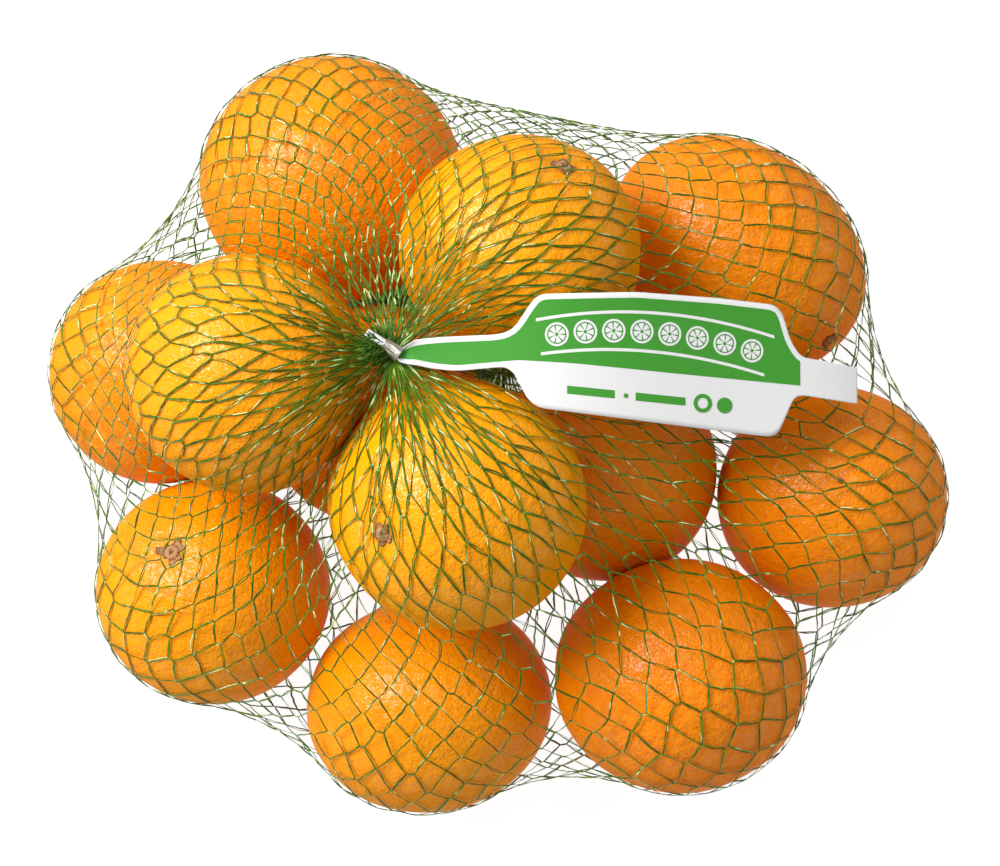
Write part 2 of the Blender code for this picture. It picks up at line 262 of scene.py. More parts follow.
def peel_group():
    """Pits and swellings of citrus peel: a height, and a mask of the pits."""
    values = {"Pits Per Metre": PITS_PER_METRE, "Depth": 1.0}
    tree, given, out = new_group("Peel pits", values, ["Height", "Pit"])
    place = put(tree, "ShaderNodeTexCoord").outputs["Object"]
    warp = put(tree, "ShaderNodeTexNoise", {"Scale": WARP_SCALE, "Vector": place}).outputs["Color"]
    shift = put(tree, "ShaderNodeVectorMath", {"Scale": WARP_SHIFT, 0: warp}, operation="SCALE")
    moved = put(tree, "ShaderNodeVectorMath", {0: place, 1: shift.outputs[0]})
    inputs = {"Vector": moved.outputs[0], "Scale": given["Pits Per Metre"]}
    cells = put(tree, "ShaderNodeTexVoronoi", inputs)
    pit = maths(tree, "SUBTRACT", 1.0, ramp(tree, cells.outputs["Distance"], *PIT_EDGES))
    inputs = {"Scale": WAVES_PER_METRE, "Detail": 2.0, "Vector": place}
    waves = put(tree, "ShaderNodeTexNoise", inputs)
    swell = maths(tree, "MULTIPLY", waves.outputs["Fac"], WAVE_HEIGHT)
    deep = maths(tree, "MULTIPLY", pit, given["Depth"])
    tree.links.new(maths(tree, "SUBTRACT", swell, deep), out["Height"])
    tree.links.new(pit, out["Pit"])
    return tree


PEEL = peel_group()

# %% The peel of one orange
# Each mottle is its patches to the metre, its detail, its contrast and its strength.
YELLOW_PEEL = (0.88, 0.365, 0.001)
DEEP_PEEL = (0.80, 0.200, 0.001)
# Paler blotches: partly the peel's own mottling, partly a painted highlight for the sparkle of its pebbly
# skin.
PALE_MOTTLE_AND_PAINTED_HIGHLIGHT = (0.92, 0.34, 0.003)
RUSSET = (0.68, 0.13, 0.001)
REDDER_SHARE = 0.35
REDDER_SIDES = (45.0, 2.0, 0.25)
BLOTCHES_AND_PAINTED_HIGHLIGHT = (380.0, 2.0, 0.16, 0.28)
FLECKS = (900.0, 2.0, 0.12, 0.14)
PIT_TINT, PIT_DEPTH = 0.09, 0.35
LEAST_WAX = 0.15
MORE_WAX = (620.0, 2.0, 0.15, 0.55)
RIM_OF_WAX = (0.25, 0.60)


def peel_material(name, depth):
    """Peel of one orange, from yellow orange, 0, to deep orange, 1."""
    material, tree, shader = principled(name, {
        "Roughness": 0.5, "Specular IOR Level": 0.03, "Coat Roughness": 0.2,
    })
    peel = put(tree, "ShaderNodeGroup", {"Depth": PIT_DEPTH}, node_tree=PEEL)
    own = tuple(a + (b - a) * depth for a, b in zip(YELLOW_PEEL, DEEP_PEEL))
    redder = tuple(a + (b - a) * REDDER_SHARE for a, b in zip(own, DEEP_PEEL))
    ground = mix_colours(tree, mottle(tree, *REDDER_SIDES), own, redder)
    # Paler blotches, partly mottling and partly painted highlight.
    ground = mix_colours(tree, mottle(tree, *BLOTCHES_AND_PAINTED_HIGHLIGHT), ground, PALE_MOTTLE_AND_PAINTED_HIGHLIGHT)
    ground = mix_colours(tree, mottle(tree, *FLECKS), ground, RUSSET)
    pits = maths(tree, "MULTIPLY", peel.outputs["Pit"], PIT_TINT)
    tree.links.new(mix_colours(tree, pits, ground, RUSSET), shader.inputs["Base Color"])
    facing = put(tree, "ShaderNodeLayerWeight", {"Blend": 0.5}).outputs["Facing"]
    inside_rim = maths(tree, "SUBTRACT", 1.0, ramp(tree, facing, *RIM_OF_WAX))
    waxed = maths(tree, "ADD", LEAST_WAX, mottle(tree, *MORE_WAX))
    tree.links.new(maths(tree, "MULTIPLY", waxed, inside_rim), shader.inputs["Coat Weight"])
    add_bump(tree, shader, 0.9, 0.00040, peel.outputs["Height"], "Coat Normal")
    return material


print("peel from", YELLOW_PEEL, "to", DEEP_PEEL)

# %% [markdown]
# ## The shape of an orange
# A real orange is no ball: it has low lumps, a dimple with short furrows at the stem end, a
# smaller one opposite, and flats where it presses on its neighbours and the table. The
# points of a fine ball are moved into the ellipsoid, then by a few broad waves and by the two
# dimples, and last out of whatever they touch.

# %% Ellipsoids that press on each other
# The dimples' depths are in millimetres, their places and widths in radians from the stem.
LUMP = 0.22
LUMP_WAVES = (1.6, 2.3, 3.4, 5.0, 8.0)
STEM_DIMPLE, STEM_WIDTH = 1.5, 0.17
FURROWS = 9
FURROW_DEPTH, FURROW_PLACE, FURROW_WIDTH = 0.45, 0.20, 0.13
BLOSSOM_DIMPLE, BLOSSOM_WIDTH = 0.6, 0.10
PRESS_GAP, REST_GAP = 0.1, 0.5
BALL_DETAIL = 5


def plan_turn(degrees):
    angle = math.radians(degrees)
    return np.array([
        [math.cos(angle), -math.sin(angle), 0.0],
        [math.sin(angle), math.cos(angle), 0.0],
        [0.0, 0.0, 1.0],
    ])


def push_out(points, name, spare, share=1.0):
    """Moves the points that are inside an orange towards its surface, by a share of the way."""
    centre, half_axes, turn = ORANGES[name][:3]
    reach = np.array(half_axes) + spare
    local = (points - np.array(centre)) @ plan_turn(turn) / reach
    depth = np.linalg.norm(local, axis=-1)
    inside = depth < 1.0
    surface = (local[inside] / depth[inside, None] * reach) @ plan_turn(turn).T + np.array(centre)
    points[inside] += share * (surface - points[inside])


def ball_points():
    bm = bmesh.new()
    bmesh.ops.create_icosphere(bm, subdivisions=BALL_DETAIL, radius=1.0)
    points = np.array([vert.co[:] for vert in bm.verts])
    faces = [[vert.index for vert in face.verts] for face in bm.faces]
    bm.free()
    return points, faces


BALL, BALL_FACES = ball_points()
print("each orange has", len(BALL_FACES), "faces")


# %% One orange
def lumps(directions, rng):
    """Broad waves over the ball, up to a millimetre from crest to trough."""
    total = np.zeros(len(directions))
    for size in LUMP_WAVES:
        wave = rng.normal(size=3) * size
        total += np.sin(directions @ wave + rng.uniform(0, 6.28)) / size**0.6
    return total


def peel_distance(name, out):
    """How far the peel is from the orange's centre, along each of the unit vectors."""
    _, half_axes, turn, stem, _ = ORANGES[name]
    rng = np.random.default_rng(list(ORANGES).index(name))
    ball = 1.0 / np.linalg.norm(out @ plan_turn(turn) / np.array(half_axes), axis=-1)
    stem = unit(np.array(stem))
    side = unit(np.cross(stem, (0.3, 0.5, 0.8)))
    away = np.arccos(np.clip(out @ stem, -1.0, 1.0))
    round_stem = np.arctan2(out @ np.cross(stem, side), out @ side)
    furrows = 0.5 + 0.5 * np.cos(FURROWS * round_stem + 2 * np.sin(2 * round_stem))
    dimple = STEM_DIMPLE * bell(away, STEM_WIDTH)
    dimple += FURROW_DEPTH * furrows * bell(away, FURROW_WIDTH, FURROW_PLACE)
    dimple += BLOSSOM_DIMPLE * bell(away, BLOSSOM_WIDTH, math.pi)
    return ball + LUMP * (lumps(out, rng) - 1.0) - dimple


def orange_points(name):
    centre, half_axes, turn = ORANGES[name][:3]
    out = unit((BALL * np.array(half_axes)) @ plan_turn(turn).T)
    points = np.array(centre) + out * peel_distance(name, out)[:, None]
    for other in ORANGES:
        if other != name:
            push_out(points, other, PRESS_GAP, share=0.5)
    points[:, 2] = np.maximum(points[:, 2], REST_GAP)
    return points


def make_oranges():
    for name, (_, _, _, _, depth) in ORANGES.items():
        material = peel_material("peel_" + name, depth)
        orange = mesh_object("orange_" + name, orange_points(name), BALL_FACES, material)
        in_net(orange)


make_oranges()
print("oranges done")

# %% [markdown]
# ## Stem ends
# Where the fruit hung, a dry calyx stays on the peel: a corky button, darker in the middle,
# ringed by a few brown lobes that lie on the peel. No two are alike, so one function makes
# them from the number of lobes, their reach and how ragged they are, and lays their points on
# the peel with the function that shaped it.

# %% Dry calyxes and a scar
# Orange: lobes, reach of the lobes, radius of the button, raggedness.
CALYXES = {
    "top_front": (5, 3.4, 2.3, 0.12),
    "front_left": (3, 4.2, 2.4, 0.20),
    "top_rear": (4, 3.4, 2.3, 0.15),
    "rear_right": (5, 2.8, 1.7, 0.25),
}
SCAR = ("right", (-1.0, 5.2, 34.3), 0.9)
CORK = ((0.045, 0.020, 0.009), (0.27, 0.110, 0.036), (0.50, 0.30, 0.15))
CORK_STEPS = ((0.0, 0.45), (0.5, 0.95))
CALYX_SIDES, CALYX_RINGS = 72, 16


def calyx_material():
    """Cork and dry leaf, from dark to pale by the tone that each point carries."""
    material, tree, shader = principled("dry_calyx", {"Roughness": 0.78, "Specular IOR Level": 0.25})
    tone = put(tree, "ShaderNodeAttribute", attribute_name="tone").outputs["Fac"]
    speckled = maths(tree, "ADD", tone, mottle(tree, 1400.0, 3.0, 0.18, 0.3))
    patch = maths(tree, "SUBTRACT", speckled, 0.15)
    tree.links.new(three_colours(tree, patch, CORK_STEPS, CORK), shader.inputs["Base Color"])
    add_bump(tree, shader, 0.6, 0.0003, mottle(tree, 900.0, 4.0, 0.3))
    return material


def laid_on_peel(orange, place, flat, lift):
    """Points near a place on an orange: flat coordinates round it, lifted off the peel."""
    out = unit(np.array(place, float))
    side = unit(np.cross(out, (0.2, 0.9, 0.4)))
    spot = peel_distance(orange, out[None, :])[0]
    towards = unit(out * spot + flat[..., :1] * side + flat[..., 1:] * np.cross(out, side))
    shape = towards.shape
    towards = towards.reshape(-1, 3)
    reach = peel_distance(orange, towards) + lift.ravel()
    return (np.array(ORANGES[orange][0]) + towards * reach[:, None]).reshape(shape)


def calyx_mesh(orange, place, lobes, reach, button, ragged, rng):
    """The points of a calyx, their tones, and its faces: rings of points from the scar out."""
    turn = np.arange(CALYX_SIDES) / CALYX_SIDES * 2 * math.pi
    wave = sum(rng.normal() * np.sin(k * turn + rng.uniform(0, 6.28)) for k in (1, 2, 3, 4, 7))
    phase = rng.uniform(0, 6.28)
    tips = np.abs(np.cos((lobes * turn + phase) / 2)) ** 1.1
    edge = (button + (reach - button) * (0.15 + 0.85 * tips)) * (1 + 0.45 * ragged * wave)
    edge = np.clip(edge, button * 0.9, reach * 1.25)
    share = np.linspace(0.0, 1.0, CALYX_RINGS)[:, None]
    radius = edge * share
    depth = radius / button
    lift = 0.25 + 0.75 * np.clip(1 - depth**4, 0, 1) - 0.5 * bell(depth, 0.35)
    lift += 0.45 * share**3 * tips + rng.normal(0, 0.05, radius.shape)
    lift[-1] = -0.35
    tone = 0.78 - 0.4 * bell(depth, 0.3) - 0.3 * bell(depth, 0.12, 0.95)
    tone = tone - 0.25 * np.clip(depth - 1.0, 0.0, 1.0) - 0.5 * share**10
    tone = tone + rng.normal(0.0, 0.12, tone.shape)
    flat = np.stack([radius * np.cos(turn), radius * np.sin(turn)], axis=-1)
    points = laid_on_peel(orange, place, flat, lift)
    index = np.arange(CALYX_RINGS * CALYX_SIDES).reshape(CALYX_RINGS, CALYX_SIDES)
    near, far = index[:-1], index[1:]
    walls = np.stack([near, far, np.roll(far, -1, axis=1), np.roll(near, -1, axis=1)], axis=-1)
    return points, tone, walls.reshape(-1, 4)


def make_stem_ends():
    rng = np.random.default_rng(31)
    cork = calyx_material()
    pieces = {name: (name, ORANGES[name][3], *values) for name, values in CALYXES.items()}
    pieces["scar"] = (SCAR[0], SCAR[1], 3, SCAR[2], SCAR[2] * 0.7, 0.3)
    for name, values in pieces.items():
        points, tone, faces = calyx_mesh(*values, rng)
        piece = mesh_object("stem_end_" + name, points, faces, cork)
        add_values(piece, "tone", tone)
        in_net(piece)


make_stem_ends()
print("stem ends:", *CALYXES, SCAR[0])

# %% [markdown]
# ## Letting the net settle
# The net is knitted in diamonds: rows of joints, each row half a step round from the last,
# with a strand from each joint to two joints above and two below. A strand can't stretch but
# goes slack freely. So the net starts as a loose balloon, every strand that is too long draws
# its joints together, a slight pull takes up the slack, and joints inside an orange are moved
# out. After a thousand rounds it hangs as a real one does: stretched long towards the
# gathers, wide open over the fruit, and straight across the gaps. Then the top rows are
# spread evenly round their gather, where friction holds them, and bunched a little at random.
# Blender's cloth could do this too, but arrays are quicker and give the same net each run.

# %% The net's values
# Lengths are in millimetres, and a reach is the number of rows from a gather.
JOINTS_ROUND = 66
ROWS = 46
MESH_SIDE = 8.1
SETTLE_STEPS = 1200
SLACK_PULL = 0.035
NET_GAP = 0.5
CROWN_ROWS = 18
BUNCH_REACH, BUNCH_ROUND, BUNCH_DOWN, COLUMN_SWAY = 7.0, 0.32, 0.20, 0.7
TABLE_GAP = 0.25
TOP_GATHER = np.array((-28.4, 22.5, 103.5))
UNDER_GATHER = np.array((1.6, 24.9, 14.0))
GATHER_RADIUS = 1.3
FIRST_REACH, FIRST_HEIGHT = (165.0, 145.0, 100.0), 60.0


# %% The loose balloon
def loose_net():
    """Joints on the balloon, and the small rings that they end in at the gathers."""
    row = np.arange(ROWS + 1)[:, None]
    down = row / ROWS * math.pi
    angle = (np.arange(JOINTS_ROUND) + 0.5 * (row % 2)) / JOINTS_ROUND * 2 * math.pi
    rings = np.stack([np.cos(angle), np.sin(angle), np.zeros_like(angle)], axis=-1)
    share = ((1 - np.cos(down)) / 2)[..., None]
    middle = TOP_GATHER * (1 - share) + UNDER_GATHER * share
    joints = middle + np.array(FIRST_REACH) * np.sin(down)[..., None] * rings
    joints[..., 2] = FIRST_HEIGHT + FIRST_REACH[2] * np.cos(down)
    return joints, TOP_GATHER + GATHER_RADIUS * rings[0], UNDER_GATHER + GATHER_RADIUS * rings[-1]


# %% Drawing it tight
STRAND_FAMILIES = ((0, 0), (0, 1), (1, 0), (1, -1))


def pull_strands(joints):
    for first, turn in STRAND_FAMILIES:
        rows = np.arange(first, ROWS, 2)
        below = np.roll(joints[rows + 1], turn, axis=1)
        strand = below - joints[rows]
        length = np.linalg.norm(strand, axis=-1, keepdims=True)
        move = strand * (np.maximum(length - MESH_SIDE, 0.0) / (2 * length) + SLACK_PULL)
        joints[rows] += move
        joints[rows + 1] = np.roll(below - move, -turn, axis=1)


def settled_net():
    joints, top, under = loose_net()
    for _ in range(SETTLE_STEPS):
        pull_strands(joints)
        joints[0], joints[-1] = top, under
        for name in ORANGES:
            push_out(joints, name, NET_GAP)
        joints[..., 2] = np.maximum(joints[..., 2], TABLE_GAP)
    return joints


def spread_out(joints):
    """Spaces the joints of the top rows evenly round the gather."""
    spaced = joints.copy()
    steps = (np.arange(JOINTS_ROUND) - (JOINTS_ROUND - 1) / 2) * 2 * math.pi / JOINTS_ROUND
    for row in range(1, CROWN_ROWS):
        ring = joints[row]
        plan = ring[:, :2] - TOP_GATHER[:2]
        angle = np.unwrap(np.arctan2(plan[:, 1], plan[:, 0]))
        share = 0.5 + 0.5 * math.cos(math.pi * row / CROWN_ROWS)
        wanted = (1 - share) * angle + share * (angle.mean() + steps)
        for axis in range(3):
            spaced[row, :, axis] = np.interp(wanted, angle, ring[:, axis], period=2 * math.pi)
    for name in ORANGES:
        push_out(spaced, name, NET_GAP)
    return spaced


def bunched(joints):
    """Near the gathers the strands bunch together unevenly, and the rows run out of step."""
    rng = np.random.default_rng(21)
    rows = np.arange(ROWS + 1)
    near = bell(np.minimum(rows, ROWS - rows), BUNCH_REACH)[:, None, None]
    kernel = np.array((1.0, 2.0, 1.0)) / 4
    sway = rng.normal(0.0, 1.0, (2, ROWS + 1, JOINTS_ROUND))
    sway = sway + rng.normal(0.0, COLUMN_SWAY, (2, 1, JOINTS_ROUND))
    for _ in range(2):
        padded = np.pad(sway, ((0, 0), (1, 1), (0, 0)), mode="edge")
        sway = sum(kernel[k] * padded[:, k:k + ROWS + 1] for k in range(3))
    around = (np.roll(joints, -1, axis=1) - np.roll(joints, 1, axis=1)) / 2
    down = np.gradient(joints, axis=0)
    shift = BUNCH_ROUND * sway[0][..., None] * around + BUNCH_DOWN * sway[1][..., None] * down
    moved = joints + near * shift
    moved[0], moved[-1] = joints[0], joints[-1]
    return moved


JOINTS = bunched(spread_out(settled_net()))
print("net from", JOINTS.min((0, 1)).round(1), "to", JOINTS.max((0, 1)).round(1))

# %% [markdown]
# ## The net's finish
# The net is thin green film, slit and knitted. Some tapes look dark green and some mid green,
# and where they catch the light a glint is painted on, almost white; near the top gather and
# in the tuft some shade is painted too. So each point of a tape carries a number, from 0 up,
# for its tone and painted light.

# %% Green film
# Dark green and mid green film, and the almost white of the painted glints.
FILM_AND_PAINTED_GLINT = ((0.027, 0.084, 0.002), (0.100, 0.212, 0.008), (0.62, 0.76, 0.36))
FILM_STEPS = ((0.1, 0.75), (0.85, 1.2))


def film_material():
    """Dark green, mid green and nearly white painted glints, by the tone and painted light of each point.
    """
    material, tree, shader = principled("net_film", {"Roughness": 0.34, "Specular IOR Level": 0.22})
    tone = put(tree, "ShaderNodeAttribute", attribute_name="tone_and_painted_light").outputs["Fac"]
    patch = maths(tree, "ADD", tone, mottle(tree, 260.0, 2.0, 0.2, 0.3))
    tree.links.new(three_colours(tree, patch, FILM_STEPS, FILM_AND_PAINTED_GLINT), shader.inputs["Base Color"])
    add_bump(tree, shader, 0.3, 0.0001, mottle(tree, 1500.0, 1.0, 0.3))
    return material


NET_FILM = film_material()
print("film of", NET_FILM.name)

# %% [markdown]
# ## From joints to tapes
# Close up, each strand is two slit tapes that part a little in the middle and run together
# at the joints, and each joint is a short link across, so that neighbouring strands bounce
# off each other rather than cross. A tape is a flat four-sided tube along a short path that
# turns about its own length, which makes it glint.

# %% Tapes along many paths at once
TAPE_HALF_WIDTH, TAPE_HALF_DEPTH = 0.185, 0.07
LINK_HALF, LINK_SHARE = 0.42, 0.06
LINK_VARIETY = np.random.default_rng(8).gamma(1.5, 0.65, (ROWS + 1, JOINTS_ROUND))


def tape_mesh(paths, sides, ups, half_width, half_depth, roll):
    """Four-sided tubes: paths is strand by point by axis, sides and ups are unit vectors."""
    count, steps = paths.shape[:2]
    flat = np.cos(roll)[..., None] * sides + np.sin(roll)[..., None] * ups
    edge = np.cos(roll)[..., None] * ups - np.sin(roll)[..., None] * sides
    corners = np.stack([
        paths + half_width * flat, paths + half_depth * edge,
        paths - half_width * flat, paths - half_depth * edge,
    ], axis=2)
    index = np.arange(count * steps * 4).reshape(count, steps, 4)
    walls = tube_faces(index[:, :-1], index[:, 1:])
    return corners.reshape(-1, 3), np.concatenate([walls, index[:, 0, ::-1], index[:, -1]])


def net_frames(joints):
    """At each joint the way round the bag, the way out, and the half length of its link."""
    around = np.roll(joints, -1, axis=1) - np.roll(joints, 1, axis=1)
    spacing = np.linalg.norm(around, axis=-1, keepdims=True) / 2
    around = unit(around)
    down = np.gradient(joints, axis=0)
    out = unit(np.cross(down, around))
    half_link = np.minimum(LINK_HALF, LINK_SHARE * spacing)
    return around, out, half_link * LINK_VARIETY[..., None]


# %% The strands of one band of rows
# The pair of tapes bows out a little, sways sideways, is ragged, and parts in the middle.
PATH_STEPS, LINK_STEPS = 7, 4
BOW_OUT, BOW_SWAY, RAGGED = 0.12, 0.16, 0.07
PAIR_GAP, PAIR_PART = 0.05, (0.02, 0.34)
# Painted glints: the share of tapes that carry one, and how much paler it makes them.
GLINT_SHARE, GLINT_STRENGTH = 0.24, 0.7
CROWN_REACH, PAINTED_SHADE_ROWS = 7.0, 4.0


def strand_ends(joints, rows, turn):
    """Start and end, and the way out at both, of the strands that start in some rows."""
    around, out, half_link = net_frames(joints)
    link = around * half_link * (1.0 if (rows[0] % 2 == 0) == (turn == 0) else -1.0)
    end, out_end = (np.roll(values, turn, axis=1) for values in (joints - link, out))
    ends = (joints + link)[rows], end[rows + 1], out[rows], out_end[rows + 1]
    return [values.reshape(-1, 1, 3) for values in ends]


def painted_glints_and_tone(rng, count, rows):
    """Tone of each step of each tape: a few short painted glints, more near the top, and painted shade by
    the top gather.
    """
    crown = bell(rows, CROWN_REACH)[:, None]
    tone = rng.beta(1.4, 2.4, (count, 1)) + rng.normal(0.0, 0.1, (count, PATH_STEPS))
    # Painted shade: tapes in the rows next to the top gather are darker, where the bunched strands shade
    # each other.
    tone -= 0.18 * bell(rows, PAINTED_SHADE_ROWS)[:, None]
    middle = rng.uniform(0.0, PATH_STEPS, (count, 1))
    length = rng.uniform(0.4, 1.1, (count, 1)) * (1.0 + crown)
    streak = bell(np.arange(PATH_STEPS), length, middle)
    lit = rng.uniform(size=(count, 1)) < GLINT_SHARE + 0.26 * crown
    return np.clip(tone + GLINT_STRENGTH * lit * streak, 0.0, 1.2)


def strand_tapes(joints, rng, low, high):
    """The paired tapes of all strands that start in the rows from low up to high."""
    along = np.linspace(0.0, 1.0, PATH_STEPS)[None, :, None]
    bow = np.sin(along * math.pi)
    for first, turn in STRAND_FAMILIES:
        rows = np.array([row for row in range(first, ROWS, 2) if low <= row < high])
        start, end, out_start, out_end = strand_ends(joints, rows, turn)
        ups = unit(out_start * (1 - along) + out_end * along)
        sides = unit(np.cross(end - start, ups))
        count = len(start)
        sway = rng.normal(0.0, BOW_SWAY, (count, 1, 1))
        middle = start * (1 - along) + end * along + bow * (BOW_OUT * ups + sway * sides)
        middle += bow * rng.normal(0.0, RAGGED, (count, PATH_STEPS, 1)) * sides
        lean = rng.uniform(-0.5, 0.5, (count, 1, 1)) + rng.normal(0.0, 0.9, (count, 1, 1)) * along
        apart = (np.cos(lean) * sides + 0.6 * np.sin(lean) * ups) * (
            PAIR_GAP + rng.uniform(*PAIR_PART, (count, 1, 1)) * bow
        )
        for sign in (1.0, -1.0):
            path = middle + sign * apart
            roll = rng.uniform(-0.5, 0.5, (count, 1)) + rng.normal(0.0, 1.1, (count, 1)) * along[..., 0]
            tone_and_painted_light = painted_glints_and_tone(rng, count, np.repeat(rows, JOINTS_ROUND))
            yield path, sides, ups, roll, tone_and_painted_light


def link_tapes(joints, rng, low, high):
    """Two short tapes across each joint, a little apart."""
    around, out, half_link = net_frames(joints)
    rows = np.arange(max(low, 1), min(high, ROWS))
    middle = joints[rows].reshape(-1, 1, 3)
    around, out = around[rows].reshape(-1, 1, 3), out[rows].reshape(-1, 1, 3)
    reach = half_link[rows].reshape(-1, 1, 1) + 0.2
    along = np.linspace(-1.0, 1.0, LINK_STEPS)[None, :, None]
    across = unit(np.cross(out, around))
    for sign in (1.0, -1.0):
        apart = sign * (0.08 + rng.uniform(0.0, 0.25, (len(middle), 1, 1)) * (1 - along**2))
        path = middle + reach * along * around + apart * across
        ups = np.repeat(out, LINK_STEPS, axis=1)
        sides = np.repeat(across, LINK_STEPS, axis=1)
        roll = np.repeat(rng.normal(0.0, 0.5, (len(middle), 1)), LINK_STEPS, axis=1)
        tone_and_painted_light = np.repeat(rng.beta(1.8, 1.6, (len(middle), 1)), LINK_STEPS, axis=1)
        yield path, sides, ups, roll, tone_and_painted_light


# %% The net in five bands
PEEL_GAP, LOWEST_TAPE = 0.30, 0.21
BANDS = {"crown": (0, 9), "upper": (9, 18), "middle": (18, 27), "lower": (27, 36), "base": (36, ROWS)}


def make_net(joints):
    rng = np.random.default_rng(4)
    for band, (low, high) in BANDS.items():
        parts, tones = [], []
        for tapes in (strand_tapes, link_tapes):
            batches = zip(*tapes(joints, rng, low, high))
            paths, sides, ups, roll, tone_and_painted_light = (np.concatenate(batch) for batch in batches)
            for name in ORANGES:
                push_out(paths, name, PEEL_GAP)
            paths[..., 2] = np.maximum(paths[..., 2], LOWEST_TAPE)
            parts.append(tape_mesh(paths, sides, ups, TAPE_HALF_WIDTH, TAPE_HALF_DEPTH, roll))
            tones.append(np.repeat(tone_and_painted_light[..., None], 4, axis=-1).ravel())
        points, faces = joined(parts)
        net = mesh_object("net_" + band, points, faces, NET_FILM)
        add_values(net, "tone_and_painted_light", np.concatenate(tones))
        in_net(net)
        print("net", band, "has", len(faces) * 2, "triangles")


make_net(JOINTS)

# %% [markdown]
# ## Clips
# Each end of the net is pulled through a short sleeve of soft sheet metal, which a machine
# crimps so that its flutes bite the film. The sleeve is a tube of two skins joined at its
# rims: narrow at the cut end, wider where net and tag go in, with flutes round its middle.

# %% The clips' own axes
TOP_CLIP = ((-28.7, 23.7, 108.2), (-0.81, 0.586, 0.0))
UNDER_CLIP = ((1.6, 24.9, 8.8), (0.0, 0.0, -1.0))
CLIP_HALF, CLIP_WALL, ROUND_RIM = 2.7, 0.35, 0.06
CLIP_MOUTH, CLIP_EXIT = (2.3, 2.1), (1.6, 1.75)
CLIP_SIDES, CLIP_STATIONS = 72, 41
FLUTES, FLUTE_DEPTH, FLUTE_REACH = 9, 0.10, 1.3
SEAM_ANGLE, SEAM_WIDTH, SEAM_DEPTH = 4.4, 0.09, 0.16


def clip_frame(centre, axis):
    """Across the clip, along it towards the cut end, and up, with the centre."""
    along = unit(np.array(axis))
    up = np.array((0.0, 0.0, 1.0)) if abs(along[2]) < 0.5 else np.array((0.0, 1.0, 0.0))
    across = unit(np.cross(along, up))
    return np.array(centre), np.stack([across, along, np.cross(across, along)])


def in_clip(frame, *place):
    """A place in the clip's own axes, or an array of them, in millimetres."""
    values = np.array(place[0] if len(place) == 1 else place, float)
    return frame[0] + values @ frame[1]


TOP_FRAME = clip_frame(*TOP_CLIP)
UNDER_FRAME = clip_frame(*UNDER_CLIP)


# %% Crimped sheet metal
CLIP_COLOUR = (0.66, 0.66, 0.58)


def metal_material():
    material, tree, shader = mottled_material(
        "dull_metal", CLIP_COLOUR, 0.55, (500.0, 3.0, 0.2), (0.35, 2200.0, 2.0, 0.3),
        {"Roughness": 0.32, "Metallic": 1.0},
    )
    dull = maths(tree, "ADD", 0.26, mottle(tree, 900.0, 3.0, 0.25, 0.26))
    tree.links.new(dull, shader.inputs["Roughness"])
    return material


def sleeve_skin(along, turn, inset):
    """Points of one skin of the sleeve, at stations along it and turns round it."""
    share = ((along + CLIP_HALF) / (2 * CLIP_HALF))[:, None]
    share = share * share * (3 - 2 * share)
    flutes = FLUTE_DEPTH * np.exp(-((along[:, None] / FLUTE_REACH) ** 4)) * (1 + np.cos(FLUTES * turn))
    seam = SEAM_DEPTH * bell(turn, SEAM_WIDTH, SEAM_ANGLE)
    half_wide = CLIP_MOUTH[0] * (1 - share) + CLIP_EXIT[0] * share - flutes - seam - inset
    half_high = CLIP_MOUTH[1] * (1 - share) + CLIP_EXIT[1] * share - flutes - seam - inset
    level = np.repeat(along[:, None], len(turn), axis=1)
    return np.stack([half_wide * np.cos(turn), level, half_high * np.sin(turn)], axis=-1)


def make_clip(node, frame, material):
    turn = np.arange(CLIP_SIDES) / CLIP_SIDES * 2 * math.pi
    along = np.linspace(-CLIP_HALF, CLIP_HALF, CLIP_STATIONS)
    outer = sleeve_skin(along, turn, 0.0)
    inner = sleeve_skin(along[::-1] * (1 - ROUND_RIM / CLIP_HALF), turn, CLIP_WALL)
    rings = np.concatenate([outer, inner])
    index = np.arange(len(rings) * CLIP_SIDES).reshape(len(rings), CLIP_SIDES)
    faces = tube_faces(index, np.roll(index, -1, axis=0))
    clip = mesh_object("sleeve_" + node, in_clip(frame, rings), faces, material)
    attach(clip, "root")
    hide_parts(node)


CLIP_METAL = metal_material()
make_clip("clip", TOP_FRAME, CLIP_METAL)
make_clip("clip_under", UNDER_FRAME, CLIP_METAL)
print("two clips")

# %% [markdown]
# ## The tag
# The tag is cut from film-coated card. Its narrow end is rolled into a tongue and crimped in
# the clip with the net, so the card bends over the fruit and hangs free. It is worked out on
# a straight axis: at each place along it the two edges say how wide the card is, one value
# how far it is rolled, and a curve how high it lies.

# %% The tag's outline and bend
TAG_AXIS_Y = 22.7
TAG_FAR_EDGE = (
    (-24.0, 25.9), (-21.4, 26.4), (-15.4, 27.0), (-0.5, 27.6), (2.5, 28.3), (4.9, 30.0),
    (9.2, 36.6), (11.5, 38.7), (37.8, 39.5), (60.9, 38.2), (76.9, 36.6), (79.2, 34.6),
    (81.5, 26.9), (84.6, 22.1), (94.9, 20.5), (101.1, 19.2),
)
TAG_NEAR_EDGE = (
    (-24.0, 19.5), (-21.4, 19.1), (-17.6, 18.3), (-11.1, 17.7), (1.1, 18.8), (2.5, 18.5),
    (4.4, 17.2), (5.2, 15.6), (8.2, 9.9), (11.2, 7.7), (59.5, 1.7), (75.5, -0.2),
    (77.9, 0.7), (80.4, 5.9), (82.4, 10.5), (84.6, 11.5), (101.1, 9.1),
)
TAG_HEIGHTS = (
    (-24.0, 108.3), (-11.4, 107.8), (0.6, 107.4), (10.6, 107.7), (20.6, 106.0),
    (40.6, 99.6), (60.6, 92.4), (80.6, 84.6), (100.6, 76.5),
)
TAG_BEND = np.polyfit(*zip(*TAG_HEIGHTS), 5)
TAG_HALF_CARD = 0.16
